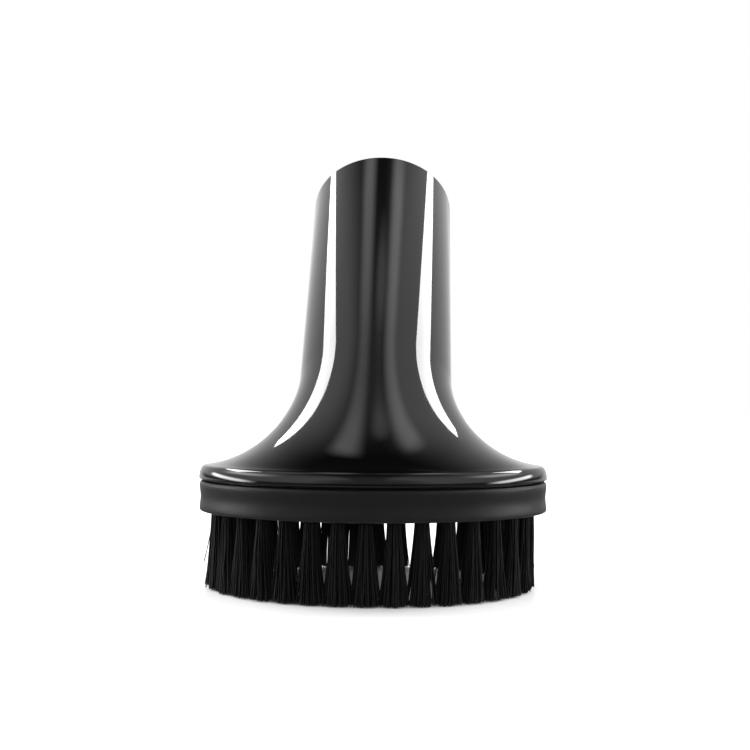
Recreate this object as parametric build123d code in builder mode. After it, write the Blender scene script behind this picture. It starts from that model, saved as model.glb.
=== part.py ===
"""Vacuum dusting brush with an oval bristle ring and a wand socket that leans back."""

from math import cos, pi, radians, sin
import os

from build123d import *

os.makedirs("parts", exist_ok=True)

# Driving dimensions in millimetres and degrees. The brush stands on its bristle
# tips at Z = 0, with the middle of its oval head at the origin. The front is -Y.

# Oval hood and its rim
head_width = 76.2
head_depth = 58.0
rim_height = 3.0
rim_round = 2.0
seam_ease = 0.4
wall = 2.2

# Wand socket, with stations measured along its axis from the top of the rim
socket_lean = 36.5
mouth_station = 82.4
mouth_diameter = 36.3
bore_diameter = 32.0
bore_depth = 32.0
mouth_ease = 0.5
lead_in = 0.6

# Flare between the hood and the socket
neck_station = 22.2
neck_diameter = 35.4
rim_slope = 9.4
rim_reach = 10.0
neck_reach = 10.9
turn_power = 1.35

# Pocket in the hood and the spigot that fits it
pocket_depth = 1.5
pocket_ledge = 0.9
spigot_height = 1.3
fit_clearance = 0.12

# Bristle ring
ring_height = 6.9
ring_width = 8.0
ring_inset = 0.15
ring_waist = 0.2
lip_ease = 0.45

# Bristle tufts
tuft_count = 34
tuft_inset = 4.1
bristle_length = 16.7
root_diameter = 3.1
tuft_clearance = 0.05
hole_depth = 5.4
hole_sides = 12
spread_height = 9.5
spread_gap = 0.4
tip_gap = 0.2
tuft_aspect = 0.9
tuft_lobes = 5
lobe_depth = 0.12

# Flat metal anchors in the folds of the tufts
anchor_height = 1.5
anchor_thickness = 0.4
fold_thickness = 1.2

# Steps in the rim's rounding, the flare and its hollow, and the share of the flare's
# side at which the hollow begins
rim_steps = 3
flare_steps = 10
hollow_steps = 9
hollow_start = 0.15

# Levels, radii and axes that follow from them
parting_level = bristle_length + ring_height
rim_level = parting_level + rim_height
half_width = head_width / 2
half_depth = head_depth / 2
mouth_radius = mouth_diameter / 2
bore_radius = bore_diameter / 2
neck_radius = neck_diameter / 2
throat_radius = neck_radius - wall
lean = radians(socket_lean)
slope = radians(rim_slope)
socket_taper = (mouth_radius - neck_radius) / (mouth_station - neck_station)

# The rim's rounding ends where its slope is that of the flare
rim_end_inset = rim_round * (1 - sin(slope))
rim_end_level = rim_level - rim_round * (1 - cos(slope))
rim_end_width = half_width - rim_end_inset
rim_end_depth = half_depth - rim_end_inset

# Levels and insets of the rim: an eased edge, an upright foot and a rounded top
rim_profile = [(parting_level, seam_ease), (parting_level + seam_ease, 0)]
for step in range(rim_steps + 1):
    angle = (pi / 2 - slope) * step / rim_steps
    rim_profile.append((rim_level - rim_round * (1 - sin(angle)), rim_round * (1 - cos(angle))))

# The socket's axis leans back from the middle of the rim's top
axis_foot = Vector(0, 0, rim_end_level)
axis_direction = Vector(0, sin(lean), cos(lean))
socket_axis = Axis(axis_foot, axis_direction)

# Side profile of the flare: X is its half width, Y the station along the socket axis
with BuildLine() as flare_side:
    Bezier(
        (rim_end_width, 0),
        (rim_end_width - rim_reach * cos(slope), rim_reach * sin(slope)),
        (neck_radius - neck_reach * socket_taper, neck_station - neck_reach),
        (neck_radius, neck_station),
    )
flare_curve = flare_side.edges()[0]


def section_plane(station, turn_station):
    """Plane centred on the socket axis, turned from level at the rim to square at the neck."""
    progress = min(turn_station / neck_station, 1)
    angle = lean * progress**turn_power
    return Plane(
        origin=axis_foot + axis_direction * station,
        x_dir=(1, 0, 0),
        z_dir=(0, sin(angle), cos(angle)),
    )


def section_depth(width):
    """Half depth of the flare at a half width, as it changes from oval to round."""
    share = (width - neck_radius) / (rim_end_width - neck_radius)
    return neck_radius + share * (rim_end_depth - neck_radius)


def hollow_section(share):
    """Plane and half sizes of the hollow, one wall inside the flare and square to it."""
    point = flare_curve @ share
    run = flare_curve % share
    inset = wall * run.Y
    plane = section_plane(point.Y + wall * run.X, point.Y)
    return plane, point.X - inset, section_depth(point.X) - inset


# Plane through the socket axis: its X is the radius and its Y the station
axis_plane = Plane(origin=axis_foot, x_dir=(1, 0, 0), z_dir=(0, -cos(lean), sin(lean)))

# The hollow meets the parting plane in a pocket that takes the ring's spigot
hollow_plane, hollow_width, hollow_depth = hollow_section(hollow_start)
pocket_half_width = hollow_width + pocket_ledge
pocket_half_depth = hollow_depth + pocket_ledge

with BuildPart() as body:
    # Outside of the moulding: rim, flare and socket in one loft
    for level, inset in rim_profile:
        with BuildSketch(Plane.XY.offset(level)):
            Ellipse(half_width - inset, half_depth - inset)
    for step in range(1, flare_steps + 1):
        point = flare_curve @ (step / flare_steps)
        with BuildSketch(section_plane(point.Y, point.Y)):
            Ellipse(point.X, section_depth(point.X))
    for station, radius in (
        (mouth_station - mouth_ease, mouth_radius),
        (mouth_station, mouth_radius - mouth_ease),
    ):
        with BuildSketch(section_plane(station, station)):
            Circle(radius)
    loft(ruled=True)

    # Foot of the hollow, from the parting plane up into the flare
    with BuildSketch(Plane.XY.offset(parting_level)):
        Ellipse(hollow_width, hollow_depth)
    with BuildSketch(hollow_plane):
        Ellipse(hollow_width, hollow_depth)
    loft(mode=Mode.SUBTRACT)

    # Hollow of the flare, up to the round throat
    for step in range(hollow_steps):
        share = hollow_start + (1 - hollow_start) * step / hollow_steps
        plane, width, depth = hollow_section(share)
        with BuildSketch(plane):
            Ellipse(width, depth)
    with BuildSketch(section_plane(neck_station, neck_station)):
        Circle(throat_radius)
    loft(ruled=True, mode=Mode.SUBTRACT)

    # Pocket for the spigot, open at the parting plane
    with BuildSketch(Plane.XY.offset(parting_level)):
        Ellipse(pocket_half_width, pocket_half_depth)
    extrude(amount=pocket_depth, mode=Mode.SUBTRACT)

    # Throat, stop shoulder, wand bore and its lead-in
    with BuildSketch(axis_plane):
        with BuildLine():
            Polyline(
                (0, neck_station),
                (throat_radius, neck_station),
                (throat_radius, mouth_station - bore_depth),
                (bore_radius, mouth_station - bore_depth),
                (bore_radius, mouth_station - lead_in),
                (bore_radius + lead_in, mouth_station),
                (0, mouth_station),
                close=True,
            )
        make_face()
    revolve(axis=socket_axis, mode=Mode.SUBTRACT)
body.part.label = "body"
export_step(body.part, "parts/body.step")

# Middle line of the tufts: it starts at the front and runs round towards +X
with BuildLine() as tuft_line:
    EllipticalCenterArc(
        (0, 0), half_width - tuft_inset, half_depth - tuft_inset, start_angle=-90, arc_size=360
    )
tuft_curve = tuft_line.edges()[0]
tuft_pitch = tuft_curve.length / tuft_count
tuft_feet = [tuft_curve @ (n / tuft_count) for n in range(tuft_count)]
tuft_runs = [tuft_curve % (n / tuft_count) for n in range(tuft_count)]
hole_top = bristle_length + hole_depth
anchor_level = hole_top - fold_thickness - anchor_height / 2
anchor_length = root_diameter - 2 * tuft_clearance

# Levels and insets of the ring's outer wall: eased lip, waist and eased seam edge
band_profile = (
    (bristle_length, ring_inset + lip_ease),
    (bristle_length + lip_ease, ring_inset),
    (bristle_length + ring_height / 2, ring_inset + ring_waist),
    (parting_level - seam_ease, ring_inset),
    (parting_level, ring_inset + seam_ease),
)

with BuildPart() as bristle_ring:
    # Outer wall
    for level, inset in band_profile:
        with BuildSketch(Plane.XY.offset(level)):
            Ellipse(half_width - inset, half_depth - inset)
    loft(ruled=True)

    # Spigot that locates the ring in the hood
    with BuildSketch(Plane.XY.offset(parting_level)):
        Ellipse(pocket_half_width - fit_clearance, pocket_half_depth - fit_clearance)
    extrude(amount=spigot_height)

    # Air opening through the ring
    with BuildSketch(Plane.XY.offset(bristle_length)):
        Ellipse(half_width - ring_width, half_depth - ring_width)
    extrude(amount=ring_height + spigot_height, mode=Mode.SUBTRACT)

    # Blind hole for each tuft, with flats that keep close to the round
    with BuildSketch(Plane.XY.offset(bristle_length)):
        with Locations(*tuft_feet):
            RegularPolygon(
                root_diameter / 2 + tuft_clearance, hole_sides, major_radius=False
            )
    extrude(amount=hole_depth, mode=Mode.SUBTRACT)
bristle_ring.part.label = "bristle_ring"
export_step(bristle_ring.part, "parts/bristle_ring.step")


def tuft_plane(number, level):
    """Level plane at a tuft, with X along the ring and Y towards the middle of the head."""
    foot = tuft_feet[number]
    return Plane(origin=(foot.X, foot.Y, level), x_dir=tuft_runs[number], z_dir=(0, 0, 1))


def tuft_outline(number, level, length):
    """Corners of the fluted outline of a bundle of bristles, from its length along the ring."""
    corners = []
    for corner in range(2 * tuft_lobes):
        reach = length / 2 * (1 - lobe_depth * (corner % 2))
        angle = pi * corner / tuft_lobes
        place = Vector(reach * cos(angle), tuft_aspect * reach * sin(angle))
        corners.append(tuft_plane(number, level).from_local_coords(place))
    return corners


# Levels and lengths of a tuft: a root in its hole, spreading to a flat trimmed tip
tuft_stages = (
    (hole_top - tuft_clearance, root_diameter),
    (bristle_length, root_diameter),
    (spread_height, tuft_pitch - spread_gap),
    (0, tuft_pitch - tip_gap),
)
for number in range(tuft_count):
    outlines = [tuft_outline(number, level, length) for level, length in tuft_stages]
    sides = [Face(Wire.make_polygon(outline)) for outline in (outlines[0], outlines[-1])]
    for upper, lower in zip(outlines, outlines[1:]):
        for corner in range(2 * tuft_lobes):
            quad = upper[corner], upper[corner - 1], lower[corner - 1], lower[corner]
            sides.append(Face(Wire.make_polygon(quad)))
    with BuildPart() as tuft:
        add(Solid(Shell(sides)))
        with Locations(tuft_plane(number, anchor_level)):
            Box(
                2 * root_diameter,
                anchor_thickness + 2 * tuft_clearance,
                anchor_height + 2 * tuft_clearance,
                mode=Mode.SUBTRACT,
            )
    name = f"tuft_{number + 1:02d}"
    tuft.part.label = name
    export_step(tuft.part, f"parts/{name}.step")

# Anchors: one flat strip through the fold of each tuft
with BuildPart() as tuft_anchors:
    with Locations(*[tuft_plane(number, anchor_level) for number in range(tuft_count)]):
        Box(anchor_length, anchor_thickness, anchor_height)
tuft_anchors.part.label = "tuft_anchors"
export_step(tuft_anchors.part, "parts/tuft_anchors.step")
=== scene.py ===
"""Blender scene of a vacuum dusting brush: smooth mouldings, bristles, light and camera."""

import random
from math import atan2, cos, pi, radians, sin, sqrt, tan

import bpy
from mathutils import Matrix, Vector


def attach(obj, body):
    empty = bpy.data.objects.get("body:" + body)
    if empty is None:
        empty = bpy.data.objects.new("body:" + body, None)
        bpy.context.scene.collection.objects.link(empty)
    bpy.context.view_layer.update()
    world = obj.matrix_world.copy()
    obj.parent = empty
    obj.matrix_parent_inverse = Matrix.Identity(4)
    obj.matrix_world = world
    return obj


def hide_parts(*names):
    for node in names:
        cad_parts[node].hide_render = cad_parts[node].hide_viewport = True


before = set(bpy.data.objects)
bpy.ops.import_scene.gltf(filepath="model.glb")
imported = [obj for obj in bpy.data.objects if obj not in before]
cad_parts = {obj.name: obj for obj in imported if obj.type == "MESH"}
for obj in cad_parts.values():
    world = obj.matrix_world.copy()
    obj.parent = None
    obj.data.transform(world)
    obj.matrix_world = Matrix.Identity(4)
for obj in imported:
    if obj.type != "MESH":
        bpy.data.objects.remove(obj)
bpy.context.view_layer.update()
random.seed(7)

MM = 0.001

# Sizes of the CAD model that the smooth mouldings follow, in millimetres and degrees.
# Stations are measured along the socket's axis, from the end of the rim's rounding

# Oval head, with the rim of its hood
head_half_width = 38.1
head_half_depth = 29.0
parting_level = 23.6
rim_level = 26.6
rim_round = 2.0
rim_crown = 1.3
seam_round = 0.2
wall = 2.2

# Wand socket
lean = radians(36.5)
mouth_station = 82.4
mouth_radius = 18.15
mouth_round = 0.6
bore_radius = 16.0
bore_depth = 32.0
lead_in = 0.6

# Flare between the rim and the socket
slope = radians(9.4)
neck_station = 22.2
neck_radius = 17.7
rim_reach = 10.0
neck_reach = 10.9
turn_power = 1.35

# Hollow of the hood, and the pocket that takes the ring's spigot
hollow_start = 0.15
pocket_depth = 1.5
pocket_ledge = 0.9
fit_clearance = 0.12
spigot_height = 1.3

# Bristle ring, with a groove above it that only the scene has
bristle_length = 16.7
ring_inset = 0.15
ring_waist = 0.2
ring_width = 8.0
lip_round = 0.45
ring_edge_round = 0.8
seam_groove = 0.4
groove_depth = 1.6

# Tufts and their holes
tuft_count = 34
tuft_inset = 4.1
hole_radius = 1.6
hole_depth = 5.4

# Sizes that follow from them
throat_radius = neck_radius - wall
socket_taper = (mouth_radius - neck_radius) / (mouth_station - neck_station)
rim_end_inset = rim_round * (1 - sin(slope))
rim_end_level = rim_level - rim_round * (1 - cos(slope))
rim_end_width = head_half_width - rim_end_inset
rim_end_depth = head_half_depth - rim_end_inset
tuft_half_width = head_half_width - tuft_inset
tuft_half_depth = head_half_depth - tuft_inset

# The rim's rounding is the part of an ellipse that ends on the line of the flare's slope
rim_foot = parting_level + seam_round
crown_fall = rim_crown * tan(slope)
rim_span = rim_end_level - rim_foot - (rim_end_inset - rim_crown) * tan(slope)
rim_rise = sqrt(rim_span**2 - crown_fall**2)
rim_end_angle = atan2(rim_rise, crown_fall)

# Fineness of the smooth meshes
around = 176
flare_rings = 72
hollow_rings = 40
edge_rings = 6
rim_rings = 14
waist_rings = 12
hole_sides = 28
line_steps = 7200
crease_angle = radians(32)


# Rings of points


def ring(centre, tilt, half_width, half_depth):
    """Points of an ellipse about a centre, in a plane that an angle tilts back."""
    points = []
    for n in range(around):
        angle = 2 * pi * n / around
        along = half_depth * sin(angle)
        offset = Vector((half_width * cos(angle), along * cos(tilt), -along * sin(tilt)))
        points.append(MM * (centre + offset))
    return points


def level_ring(level, half_width, half_depth):
    """Points of a level ellipse about the middle of the head."""
    return ring(Vector((0, 0, level)), 0, half_width, half_depth)


def head_ring(level, inset):
    """Points of a level ellipse, an inset within the head's outline."""
    return level_ring(level, head_half_width - inset, head_half_depth - inset)


def axis_ring(station, tilt, half_width, half_depth):
    """Points of an ellipse at a station along the socket's axis."""
    centre = Vector((0, station * sin(lean), rim_end_level + station * cos(lean)))
    return ring(centre, tilt, half_width, half_depth)


def arc_angles(steps, end=pi / 2):
    """Angles from 0 to an end, in equal steps."""
    return [end * k / steps for k in range(steps + 1)]


def flare_tilt(station):
    """Tilt of the flare's section, from level at the rim to square at the neck."""
    return lean * min(station / neck_station, 1) ** turn_power


def flare_point(share):
    """Half width and station of the flare's side, and the direction in which it runs."""
    corners = (
        Vector((rim_end_width, 0)),
        Vector((rim_end_width - rim_reach * cos(slope), rim_reach * sin(slope))),
        Vector((neck_radius - neck_reach * socket_taper, neck_station - neck_reach)),
        Vector((neck_radius, neck_station)),
    )
    rest = 1 - share
    weights = (rest**3, 3 * rest**2 * share, 3 * rest * share**2, share**3)
    point = sum((w * c for w, c in zip(weights, corners)), Vector((0, 0)))
    slopes = (rest**2, 2 * rest * share, share**2)
    steps = [after - before for before, after in zip(corners, corners[1:])]
    run = sum((w * s for w, s in zip(slopes, steps)), Vector((0, 0)))
    return point, run.normalized()


def flare_depth(width):
    """Half depth of the flare at a half width."""
    share = (width - neck_radius) / (rim_end_width - neck_radius)
    return neck_radius + share * (rim_end_depth - neck_radius)


def hollow_section(share):
    """Station, tilt and half sizes of the hollow, one wall inside the flare."""
    point, run = flare_point(share)
    inset = wall * run.y
    station = point.y + wall * run.x
    return station, flare_tilt(point.y), point.x - inset, flare_depth(point.x) - inset


# Meshes and pieces


def new_mesh(name, points, faces, crease):
    """Smooth mesh that is sharp where its faces meet at more than an angle."""
    mesh = bpy.data.meshes.new(name)
    mesh.from_pydata(points, [], faces)
    smooth(mesh, crease)
    mesh.update()
    return mesh


def smooth(mesh, crease):
    """Shades a mesh smooth, and sharp where its faces meet at more than an angle."""
    mesh.polygons.foreach_set("use_smooth", [True] * len(mesh.polygons))
    mesh.set_sharp_from_angle(angle=crease)


def tube_mesh(name, rings):
    """Closed mesh through rings of points, the last of which joins the first."""
    points = [p for r in rings for p in r]
    faces = []
    for r in range(len(rings)):
        start = r * around
        above = (r + 1) % len(rings) * around
        for n in range(around):
            after = (n + 1) % around
            faces.append((start + n, start + after, above + after, above + n))
    return new_mesh(name, points, faces, crease_angle)


def add_object(name, mesh):
    """Adds a mesh to the scene."""
    item = bpy.data.objects.new(name, mesh)
    bpy.context.scene.collection.objects.link(item)
    return item


def new_piece(name, mesh, material):
    """Adds a mesh to the scene with one material."""
    piece = add_object(name, mesh)
    mesh.materials.append(material)
    return piece


# Shader nodes


class Output:
    """Output of a shader node. Arithmetic on it adds Math nodes to its tree."""

    def __init__(self, socket):
        self.socket = socket
        self.tree = socket.id_data

    def math(self, operation, *others):
        """Result of a Math node on this output and others, which may be plain numbers."""
        inputs = dict(enumerate((self, *others)))
        return new_node(self.tree, "ShaderNodeMath", "Value", inputs, operation=operation)

    def __add__(self, other):
        return self.math("ADD", other)

    def __sub__(self, other):
        return self.math("SUBTRACT", other)

    def __rsub__(self, other):
        return self * -1 + other

    def __mul__(self, other):
        return self.math("MULTIPLY", other)

    def __truediv__(self, other):
        return self.math("DIVIDE", other)

    def __abs__(self):
        return self.math("ABSOLUTE")

    def or_more(self, other):
        """The larger of this and another."""
        return self.math("MAXIMUM", other)

    def change(self, low, high, to_low, to_high, interpolation="LINEAR"):
        """Goes from one level to another while this goes from low to high."""
        inputs = {
            "Value": self,
            "From Min": low,
            "From Max": high,
            "To Min": to_low,
            "To Max": to_high,
        }
        return new_node(
            self.tree, "ShaderNodeMapRange", "Result", inputs, interpolation_type=interpolation
        )

    def ease(self, low, high, to_low, to_high):
        """As change, with a smooth start and end."""
        return self.change(low, high, to_low, to_high, "SMOOTHSTEP")


def feed(entry, value):
    """Gives an input socket an output of a node, or else a plain number or colour."""
    if isinstance(value, Output):
        entry.id_data.links.new(value.socket, entry)
    else:
        entry.default_value = value


def new_node(tree, kind, output, inputs=None, **settings):
    """Adds a node with its settings and inputs, and returns one of its outputs."""
    node = tree.nodes.new(kind)
    for name, setting in settings.items():
        setattr(node, name, setting)
    for name, value in (inputs or {}).items():
        feed(node.inputs[name], value)
    return Output(node.outputs[output])


def outputs(tree, kind, *names):
    """Adds a node and returns several of its outputs."""
    node = tree.nodes.new(kind)
    return [Output(node.outputs[name]) for name in names]


def blend(factor, low, high, kind="FLOAT"):
    """Mix of two numbers or colours, by a factor."""
    inputs = {"Factor": factor, "A": low, "B": high}
    return new_node(factor.tree, "ShaderNodeMix", "Result", inputs, data_type=kind)


def noise(tree, scale, detail, stretch=None):
    """Noise in object coordinates, in cycles a metre."""
    place = new_node(tree, "ShaderNodeTexCoord", "Object")
    if stretch:
        inputs = {"Vector": place, "Scale": stretch}
        place = new_node(tree, "ShaderNodeMapping", "Vector", inputs)
    inputs = {"Vector": place, "Scale": scale, "Detail": detail}
    return new_node(tree, "ShaderNodeTexNoise", "Fac", inputs)


# Materials. Colours are scene linear, and distances of bumps are in metres


def new_material(name, settings):
    """Node material with settings for its Principled shader. Returns both, and the tree."""
    material = bpy.data.materials.new(name)
    material.use_nodes = True
    shader = material.node_tree.nodes["Principled BSDF"]
    for entry, setting in settings.items():
        feed(shader.inputs[entry], setting)
    return material, shader, material.node_tree


def set_colour(shader, pattern, dark, light):
    """Colours a shader between two colours, by a pattern."""
    feed(shader.inputs["Base Color"], blend(pattern, (*dark, 1), (*light, 1), "RGBA"))


def set_roughness(shader, pattern, low, high, smoothest, roughest):
    """Changes the roughness of a shader while a pattern goes from low to high."""
    feed(shader.inputs["Roughness"], pattern.change(low, high, smoothest, roughest))


def set_bumps(shader, *bumps):
    """Chains bumps on a shader, each from a height and its distance."""
    normal = None
    for height, distance in bumps:
        inputs = {"Height": height, "Distance": distance}
        if normal:
            inputs["Normal"] = normal
        normal = new_node(height.tree, "ShaderNodeBump", "Normal", inputs)
    feed(shader.inputs["Normal"], normal)


def gloss_plastic():
    """Polished black moulding: faint flow marks, fine scuffs and a slightly uneven gloss."""
    material, shader, tree = new_material("gloss_black_plastic", {"IOR": 1.5})
    flow = noise(tree, scale=38, detail=3)
    grain = noise(tree, scale=2400, detail=1)
    scuffs = noise(tree, scale=700, detail=4, stretch=(1.0, 0.12, 0.12))
    set_colour(shader, flow, dark=(0.0008, 0.0008, 0.0009), light=(0.0018, 0.0018, 0.0020))
    set_roughness(shader, scuffs, 0.45, 0.80, smoothest=0.035, roughest=0.10)
    set_bumps(shader, (flow, 0.00006), (grain, 0.0000006))
    return material


def satin_plastic():
    """Spark-textured black moulding with a soft sheen."""
    settings = {"IOR": 1.5, "Specular IOR Level": 0.24}
    material, shader, tree = new_material("satin_black_plastic", settings)
    texture = noise(tree, scale=5200, detail=3)
    mottle = noise(tree, scale=260, detail=3)
    set_colour(shader, mottle, dark=(0.0060, 0.0060, 0.0064), light=(0.0094, 0.0094, 0.0099))
    set_roughness(shader, texture, 0.3, 0.7, smoothest=0.34, roughest=0.50)
    set_bumps(shader, (mottle, 0.00003), (texture, 0.000012))
    return material


def bristle_nylon():
    """Black nylon filament: shade and gloss vary from one filament to the next."""
    settings = {"IOR": 1.53, "Specular IOR Level": 0.2}
    material, shader, tree = new_material("black_bristle_nylon", settings)
    filament = new_node(tree, "ShaderNodeNewGeometry", "Random Per Island")
    along = noise(tree, scale=900, detail=2, stretch=(1.0, 1.0, 0.3))
    set_colour(shader, filament, dark=(0.0015, 0.0015, 0.0017), light=(0.0055, 0.0055, 0.0060))
    set_roughness(shader, along, 0.3, 0.7, smoothest=0.30, roughest=0.48)
    set_bumps(shader, (along, 0.00001))
    return material


def anchor_steel():
    """Plain steel strip with fine rolling lines."""
    material, shader, tree = new_material("anchor_steel_strip", {"Metallic": 1.0})
    lines = noise(tree, scale=9000, detail=2, stretch=(0.05, 0.05, 1.0))
    set_colour(shader, lines, dark=(0.50, 0.50, 0.51), light=(0.66, 0.66, 0.67))
    set_roughness(shader, lines, 0.3, 0.7, smoothest=0.28, roughest=0.45)
    set_bumps(shader, (lines, 0.000004))
    return material


# Body: one smooth moulding, inside and out. First the half sizes of the hollow's foot
# and of the pocket

_, _, hollow_width, hollow_depth = hollow_section(hollow_start)
pocket_width = hollow_width + pocket_ledge
pocket_half_depth = hollow_depth + pocket_ledge


def body_rings():
    """Rings of the body, from the seam up the outside and back down the inside."""
    rings = []
    for angle in arc_angles(edge_rings):
        level = parting_level + seam_round * (1 - cos(angle))
        rings.append(head_ring(level, seam_round * (1 - sin(angle))))
    for angle in arc_angles(rim_rings, rim_end_angle):
        level = rim_foot + rim_rise * sin(angle)
        rings.append(head_ring(level, rim_crown * (1 - cos(angle))))
    for k in range(1, flare_rings + 1):
        point, _ = flare_point(k / flare_rings)
        rings.append(axis_ring(point.y, flare_tilt(point.y), point.x, flare_depth(point.x)))
    for angle in arc_angles(edge_rings):
        radius = mouth_radius - mouth_round * (1 - cos(angle))
        station = mouth_station - mouth_round * (1 - sin(angle))
        rings.append(axis_ring(station, lean, radius, radius))

    stop_station = mouth_station - bore_depth
    for station, radius in (
        (mouth_station, bore_radius + lead_in),
        (mouth_station - lead_in, bore_radius),
        (stop_station, bore_radius),
        (stop_station, throat_radius),
        (neck_station, throat_radius),
    ):
        rings.append(axis_ring(station, lean, radius, radius))
    for k in range(1, hollow_rings + 1):
        share = 1 - (1 - hollow_start) * k / hollow_rings
        rings.append(axis_ring(*hollow_section(share)))

    pocket_top = parting_level + pocket_depth
    rings.append(level_ring(pocket_top, hollow_width, hollow_depth))
    rings.append(level_ring(pocket_top, pocket_width, pocket_half_depth))
    rings.append(level_ring(parting_level, pocket_width, pocket_half_depth))
    return rings


body = new_piece("body_moulding", tube_mesh("body_moulding", body_rings()), gloss_plastic())
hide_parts("body")
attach(body, "root")


# Bristle ring: rounded lip, slight waist, groove under the rim, spigot and tuft holes


def tuft_places():
    """Foot and run of each tuft, evenly along an ellipse from the front round towards +X."""
    angles = [-pi / 2 + 2 * pi * n / line_steps for n in range(line_steps + 1)]
    line = [Vector((tuft_half_width * cos(a), tuft_half_depth * sin(a), 0)) for a in angles]
    lengths = [0.0]
    for before, after in zip(line, line[1:]):
        lengths.append(lengths[-1] + (after - before).length)
    found = []
    n = 0
    for tuft in range(tuft_count):
        while lengths[n] < lengths[-1] * tuft / tuft_count:
            n += 1
        run = Vector((-tuft_half_width * sin(angles[n]), tuft_half_depth * cos(angles[n]), 0))
        found.append((line[n], run.normalized()))
    return found


def band_rings():
    """Rings of the bristle ring, from its lip up the outside and back down the opening."""
    rings = []
    for angle in arc_angles(edge_rings):
        level = bristle_length + lip_round * (1 - cos(angle))
        rings.append(head_ring(level, ring_inset + lip_round * (1 - sin(angle))))
    edge_level = parting_level - seam_groove
    waist_low = bristle_length + lip_round
    waist_high = edge_level - ring_edge_round
    for k in range(1, waist_rings):
        share = k / waist_rings
        level = waist_low + (waist_high - waist_low) * share
        rings.append(head_ring(level, ring_inset + ring_waist * sin(pi * share) ** 2))
    for angle in arc_angles(edge_rings):
        level = edge_level - ring_edge_round * (1 - sin(angle))
        rings.append(head_ring(level, ring_inset + ring_edge_round * (1 - cos(angle))))
    for level in (edge_level, parting_level):
        rings.append(head_ring(level, ring_inset + groove_depth))

    spigot_width = pocket_width - fit_clearance
    spigot_depth = pocket_half_depth - fit_clearance
    spigot_top = parting_level + spigot_height
    rings.append(level_ring(parting_level, spigot_width, spigot_depth))
    rings.append(level_ring(spigot_top, spigot_width, spigot_depth))
    rings.append(head_ring(spigot_top, ring_width))
    rings.append(head_ring(bristle_length, ring_width))
    return rings


def hole_mesh():
    """Round plugs that cut the blind tuft holes, from just below the lip."""
    plug_start = bristle_length - 1
    points = []
    faces = []
    for foot, _ in places:
        base = len(points)
        top = base + hole_sides
        for level in (plug_start, bristle_length + hole_depth):
            for n in range(hole_sides):
                angle = 2 * pi * n / hole_sides
                place = foot + hole_radius * Vector((cos(angle), sin(angle), 0))
                points.append(MM * Vector((place.x, place.y, level)))
        for n in range(hole_sides):
            after = (n + 1) % hole_sides
            faces.append((base + n, base + after, top + after, top + n))
        faces.append(tuple(base + n for n in reversed(range(hole_sides))))
        faces.append(tuple(top + n for n in range(hole_sides)))
    mesh = bpy.data.meshes.new("tuft_holes")
    mesh.from_pydata(points, [], faces)
    return mesh


def cut_mesh(name, mesh, cutter_mesh):
    """Mesh that is left of one when another is cut from it."""
    solid = add_object(mesh.name, mesh)
    cutter = add_object(cutter_mesh.name, cutter_mesh)
    cut = solid.modifiers.new("cut", "BOOLEAN")
    cut.operation = "DIFFERENCE"
    cut.solver = "EXACT"
    cut.object = cutter
    left = bpy.data.meshes.new_from_object(
        solid.evaluated_get(bpy.context.evaluated_depsgraph_get())
    )
    left.name = name
    left.materials.clear()
    bpy.data.objects.remove(solid)
    bpy.data.objects.remove(cutter)
    smooth(left, crease_angle)
    return left


places = tuft_places()
drilled = cut_mesh(
    "bristle_ring_moulding", tube_mesh("ring_solid", band_rings()), hole_mesh()
)
bristle_ring = new_piece("bristle_ring_moulding", drilled, satin_plastic())
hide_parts("bristle_ring")
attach(bristle_ring, "root")

# Bristles: each tuft is a bundle of filaments that fan out below the ring. Sizes are in
# millimetres, and a scatter is the standard deviation of a random offset

filament_count = 120
filament_radius = 0.12
filament_sides = 5
filament_steps = 7
filament_crease = radians(75)
root_gap = 0.1
root_level = bristle_length + hole_depth - root_gap
anchor_gap = 0.28
tube_guide = Vector((0.3, 1, 0))
radius_jitter = 0.03
turn_jitter = 0.1

# Spread of a tuft at its root and along its tip, and the least and greatest power that
# sets how late its filaments fan out
front_shape = (1.34, 3.1, 1.15, 1.45)
front_right_shape = (1.3, 2.8, 1.6, 1.9)
back_left_shape = (1.5, 3.3, 0.5, 0.65)
back_right_shape = (1.28, 2.7, 1.7, 2.1)
front_right_start = 18
back_left_end = -3

# Tips: spread across the ring, rise of the outer filaments, scatter and trim
tip_spread_across = 1.95
tip_rise = 0.45
tip_scatter_along = 0.26
tip_scatter_across = 0.20
bow_scatter = 0.10
trim_mean = 0.06
trim_scatter = 0.12

# The tufts at both ends lean to the left, and a few of their filaments stray
end_lean = 0.7
splay_scatter = 0.1
stray_reach = 0.85
stray_share = 0.03
stray_splay = (0.3, 0.9)
stray_lift = (1.0, 5.0)


def disc_points(count):
    """Points that fill a unit disc evenly, with a little disorder."""
    golden = pi * (3 - sqrt(5))
    points = []
    for n in range(count):
        radius = sqrt((n + 0.5) / count)
        radius = min(1, radius + random.uniform(-radius_jitter, radius_jitter))
        angle = golden * n + random.uniform(-turn_jitter, turn_jitter)
        points.append((radius * cos(angle), radius * sin(angle)))
    return points


def tuft_shape(foot):
    """Shape of the tuft at a foot."""
    if foot.y < 0:
        return front_shape if foot.x < front_right_start else front_right_shape
    return back_left_shape if foot.x < back_left_end else back_right_shape


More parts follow.
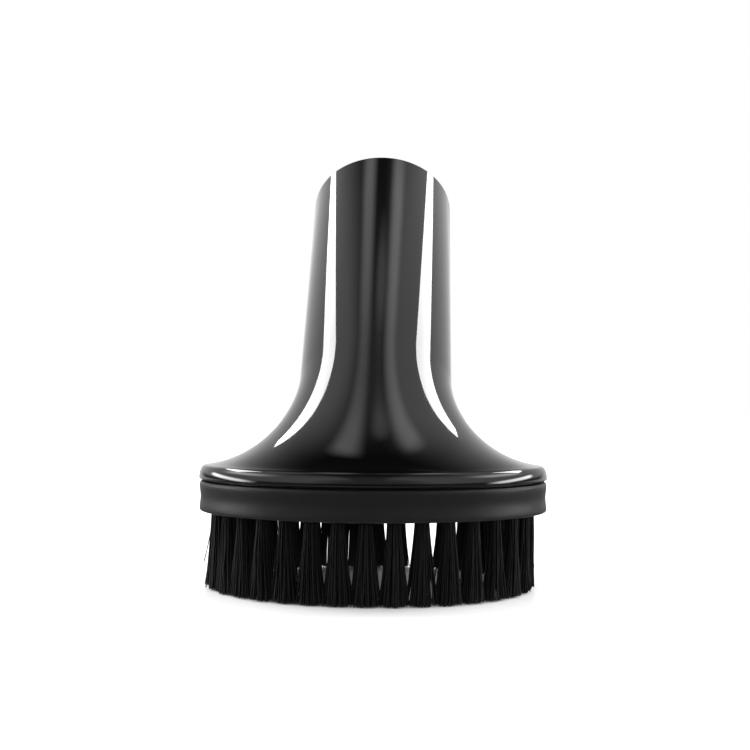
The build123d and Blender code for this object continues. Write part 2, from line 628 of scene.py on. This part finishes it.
def filament_line(foot, run, out, across, splay, lift):
    """Middle line of one filament, from its root in the hole to its trimmed tip."""
    along, away = across
    root_spread, tip_spread_along, early, late = tuft_shape(foot)
    root = run * along * root_spread + out * away * root_spread
    if abs(away * root_spread) < anchor_gap:
        root += out * (anchor_gap if away >= 0 else -anchor_gap)
    tip = run * along * tip_spread_along + out * (away * tip_spread_across + splay)
    tip += run * random.gauss(0, tip_scatter_along) + out * random.gauss(0, tip_scatter_across)
    bow = run * random.gauss(0, bow_scatter) + out * random.gauss(0, bow_scatter)
    trim = tip_rise * (along**2 + away**2) + random.gauss(trim_mean, trim_scatter)
    tip_level = lift + max(0.0, trim)
    power = random.uniform(early, late)
    line = [foot + root + Vector((0, 0, root_level))]
    for step in range(filament_steps):
        share = step / (filament_steps - 1)
        level = bristle_length + (tip_level - bristle_length) * share
        side = root.lerp(tip, share**power) + bow * sin(pi * share)
        line.append(foot + side + Vector((0, 0, level)))
    return line


def add_filament(points, faces, line):
    """Adds a closed tube round a filament's middle line to the points and faces."""
    base = len(points)
    last = base + (len(line) - 1) * filament_sides
    for n, centre in enumerate(line):
        before = line[max(n - 1, 0)]
        after = line[min(n + 1, len(line) - 1)]
        direction = (after - before).normalized()
        side = direction.cross(tube_guide).normalized()
        other = direction.cross(side)
        for s in range(filament_sides):
            angle = 2 * pi * s / filament_sides
            place = centre + filament_radius * (side * cos(angle) + other * sin(angle))
            place.z = max(place.z, 0)
            points.append(MM * place)
    for start in range(base, last, filament_sides):
        below = start + filament_sides
        for s in range(filament_sides):
            after = (s + 1) % filament_sides
            faces.append((start + s, start + after, below + after, below + s))
    faces.append(tuple(base + s for s in reversed(range(filament_sides))))
    faces.append(tuple(last + s for s in range(filament_sides)))


bristle_material = bristle_nylon()
for number, (foot, run) in enumerate(places):
    name = f"{number + 1:02d}"
    out = Vector((run.y, -run.x, 0))
    reach = foot.x / tuft_half_width
    lean_out = -end_lean * reach * abs(reach) ** 3
    points = []
    faces = []
    for across in disc_points(filament_count):
        splay = lean_out + random.gauss(0, splay_scatter)
        lift = 0.0
        if abs(reach) > stray_reach and random.random() < stray_share:
            splay += random.uniform(*stray_splay)
            lift = random.uniform(*stray_lift)
        add_filament(points, faces, filament_line(foot, run, out, across, splay, lift))
    mesh = new_mesh("bristles_" + name, points, faces, filament_crease)
    bristles = new_piece("bristles_" + name, mesh, bristle_material)
    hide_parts("tuft_" + name)
    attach(bristles, "root")

# The CAD anchors stay, with a better material
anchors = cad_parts["tuft_anchors"]
anchors.data.materials.clear()
anchors.data.materials.append(anchor_steel())

# Floor, in metres. To the camera it glows as white as the background, except that the glow
# weakens near the brush and ambient occlusion dims it there: a painted shadow of the brush.
# To reflected rays it is plain light: bright behind and close to the brush.
# A change has the distances at which it begins and ends, and then its two levels

floor_half = 6.0
floor_corners = [(-1, -1), (1, -1), (1, 1), (-1, 1)]
floor_paint = {"Base Color": (0.86, 0.86, 0.86, 1), "Roughness": 0.30, "Specular IOR Level": 0.2}
shadow_reach = 0.06
glow_change = (0.10, 0.60, 0.55, 1.0)
mirrored_behind = (0.0, 0.45, 0.24, 1.0)
mirrored_close = (0.045, 0.10, 0.6, 0.0)


def white_floor():
    """Material of the floor."""
    material, shader, tree = new_material("white_floor", floor_paint)
    camera_ray, glossy_ray, transmission_ray = outputs(
        tree, "ShaderNodeLightPath", "Is Camera Ray", "Is Glossy Ray", "Is Transmission Ray"
    )
    place = new_node(tree, "ShaderNodeTexCoord", "Object")
    place_y = new_node(tree, "ShaderNodeSeparateXYZ", "Y", {"Vector": place})
    away = new_node(tree, "ShaderNodeVectorMath", "Value", {0: place}, operation="LENGTH")

    # Ambient occlusion dims the camera glow under and around the brush: painted shadow
    open_sky = new_node(tree, "ShaderNodeAmbientOcclusion", "AO", {"Distance": shadow_reach})
    strength = away.change(*glow_change) * open_sky * camera_ray
    glow = new_node(tree, "ShaderNodeEmission", "Emission", {"Strength": strength})
    inputs = {0: Output(shader.outputs["BSDF"]), 1: glow}
    lit = new_node(tree, "ShaderNodeAddShader", "Shader", inputs)

    strength = place_y.ease(*mirrored_behind).or_more(away.ease(*mirrored_close))
    mirrored = new_node(tree, "ShaderNodeEmission", "Emission", {"Strength": strength})
    inputs = {"Fac": glossy_ray.or_more(transmission_ray), 1: lit, 2: mirrored}
    surface = new_node(tree, "ShaderNodeMixShader", "Shader", inputs)
    feed(tree.nodes["Material Output"].inputs["Surface"], surface)
    return material


floor_mesh = bpy.data.meshes.new("floor")
floor_mesh.from_pydata(
    [(floor_half * x, floor_half * y, 0) for x, y in floor_corners], [], [(0, 1, 2, 3)]
)
floor = new_piece("floor", floor_mesh, white_floor())

# World: white to the camera. In the gloss it is a pale tent with a dark slot overhead,
# which reaches down behind the brush, and a dim opening where the camera stands. What a
# reflected ray meets depends on its direction: sky_x, sky_y and sky_z are its parts, and
# sideways and beyond are the first two divided by the third. Lights are radiances, and any
# other pair of numbers is where a change begins and where it ends

room_light = 0.9
least_height = 0.02

# Tent with its slot, which is narrower ahead of the brush
slot_middle = -0.08
slot_edge = (0.18, 1.0)
slot_narrowing = (-0.30, 0.50)
low_tent = (0.10, 0.40)
camera_opening = (-0.98, -0.80)
opening_light = 0.30
front_end = (-0.30, 0.05)
front_light = 0.28
slot_change = (-0.10, 0.25)
slot_lights = (0.09, 0.02)

# Dim horizon, except behind the brush, and a fade overhead, in front of the brush
horizon = (0.03, 0.15)
horizon_light = 0.15
behind_start = (0.55, 0.85)
fade_end = (-0.42, -0.18)
fade_rise = (0.45, 0.90)
fade_share = 0.85

# Two soft stripes beside the slot, and a small spot between them
stripe_middle = 0.04
stripe_offset = 0.26
stripe_edge = (0.02, 0.17)
stripe_start = (-0.45, -0.05)
stripe_end = (0.07, 0.30)
stripe_light = 1.4
spot_sideways = 0.07
spot_beyond = -0.13
spot_edge = (0.02, 0.14)
spot_light = 0.6

# Low side lights that rise towards the back, one on each side, and a ring of light
# halfway up, at the sides of the brush
least_side = 0.05
light_foot = 0.105
light_rise = 0.24
light_edge = (0.02, 0.11)
light_start = (-0.50, -0.15)
light_end = (0.38, 0.60)
side_light = 12.0
halo_height = 0.50
halo_edge = (0.02, 0.16)
halo_start = (-0.55, -0.15)
halo_end = (0.05, 0.40)
halo_light = 4.5


def rises(value, change):
    """Goes from 0 to 1 over a change of a value."""
    return value.ease(*change, 0, 1)


def falls(value, change):
    """Goes from 1 to 0 over a change of a value."""
    return value.ease(*change, 1, 0)


def between(value, start, end):
    """Rises over a start and falls over an end."""
    return rises(value, start) * falls(value, end)


def tent_light(tree):
    """Light of the tent in the direction of a reflected ray."""
    (direction,) = outputs(tree, "ShaderNodeTexCoord", "Generated")
    axes = tree.nodes.new("ShaderNodeSeparateXYZ")
    feed(axes.inputs["Vector"], direction)
    sky_x, sky_y, sky_z = (Output(axes.outputs[axis]) for axis in "XYZ")
    height = sky_z.or_more(least_height)
    sideways = sky_x / height
    beyond = sky_y / height

    off_slot = abs(sideways - slot_middle) * (falls(sky_y, slot_narrowing) + 1)
    tent = rises(off_slot, slot_edge).or_more(falls(sky_z, low_tent))
    tent *= sky_y.ease(*camera_opening, opening_light, 1)
    tent = tent.or_more(sky_y.ease(*front_end, front_light, 0))
    tent += sky_y.ease(*slot_change, *slot_lights)

    tent *= sky_z.ease(*horizon, horizon_light, 1).or_more(rises(sky_y, behind_start))
    tent *= 1 - falls(sky_y, fade_end) * sky_z.ease(*fade_rise, 0, fade_share)

    off_stripe = abs(abs(sideways - stripe_middle) - stripe_offset)
    stripe = falls(off_stripe, stripe_edge) * between(beyond, stripe_start, stripe_end)
    tent += stripe * stripe_light
    spot_x = sideways - spot_sideways
    spot_y = beyond - spot_beyond
    off_spot = (spot_x * spot_x + spot_y * spot_y).math("SQRT")
    tent += falls(off_spot, spot_edge) * spot_light

    side = abs(sky_x).or_more(least_side)
    back_share = sky_y / side
    off_light = abs(sky_z / side - (back_share * light_rise + light_foot))
    light = falls(off_light, light_edge) * between(back_share, light_start, light_end)
    tent += light * side_light
    halo = falls(abs(sky_z - halo_height), halo_edge) * between(sky_y, halo_start, halo_end)
    tent += halo * halo_light
    return tent


world = bpy.data.worlds.new("studio")
world.use_nodes = True
bpy.context.scene.world = world
sky = world.node_tree
camera_ray, glossy_ray = outputs(sky, "ShaderNodeLightPath", "Is Camera Ray", "Is Glossy Ray")
background = sky.nodes["Background"]
feed(background.inputs["Color"], (1, 1, 1, 1))
room_or_gloss = blend(glossy_ray, room_light, tent_light(sky))
feed(background.inputs["Strength"], blend(camera_ray, room_or_gloss, 1))

# Softboxes, one on each side, that run up and away from the brush

box_radiance = 13


def softbox(name, start, end, width, facing):
    """Area lamp between two points in metres, with the way its back faces."""
    start, end, facing = Vector(start), Vector(end), Vector(facing)
    length = (end - start).length
    data = bpy.data.lights.new(name, "AREA")
    data.shape = "RECTANGLE"
    data.size = width
    data.size_y = length
    data.energy = box_radiance * pi * width * length
    lamp = bpy.data.objects.new(name, data)
    bpy.context.scene.collection.objects.link(lamp)
    long_side = (end - start).normalized()
    facing = (facing - facing.project(long_side)).normalized()
    across = long_side.cross(facing)
    turn = Matrix((across, long_side, facing)).transposed().to_4x4()
    lamp.matrix_world = Matrix.Translation((start + end) / 2) @ turn
    lamp.visible_camera = False


softbox(
    "left_box",
    start=(-0.227, 0.004, 0.220),
    end=(-0.973, 1.261, 1.155),
    width=0.091,
    facing=(-0.63, -0.668, 0.396),
)
softbox(
    "right_box",
    start=(0.314, 0.066, 0.278),
    end=(0.943, 1.113, 1.182),
    width=0.147,
    facing=(0.816, -0.57, 0.092),
)

# Camera, level in front of the brush, a little to its right and turned to face it
picture_side = 750
focal_pixels = 962.9
horizon_pixel = 413.46
sensor_width = 36.0
near_clip = 0.01
camera_yaw = radians(2.71)
camera_roll = radians(0.25)
camera_place = Vector((10.53, -212.2, 37.75)) * MM

scene = bpy.context.scene
scene.view_settings.view_transform = "Standard"
camera_data = bpy.data.cameras.new("camera")
camera_data.sensor_width = sensor_width
camera_data.lens = sensor_width * focal_pixels / picture_side
camera_data.shift_y = (horizon_pixel - picture_side / 2) / picture_side
camera_data.clip_start = near_clip
camera = bpy.data.objects.new("camera", camera_data)
scene.collection.objects.link(camera)
level_right = Vector((cos(camera_yaw), sin(camera_yaw), 0))
right = level_right * cos(camera_roll) + Vector((0, 0, sin(camera_roll)))
back = Vector((sin(camera_yaw), -cos(camera_yaw), 0))
up = back.cross(right)
turn = Matrix((right, up, back)).transposed().to_4x4()
camera.matrix_world = Matrix.Translation(camera_place) @ turn
scene.camera = camera
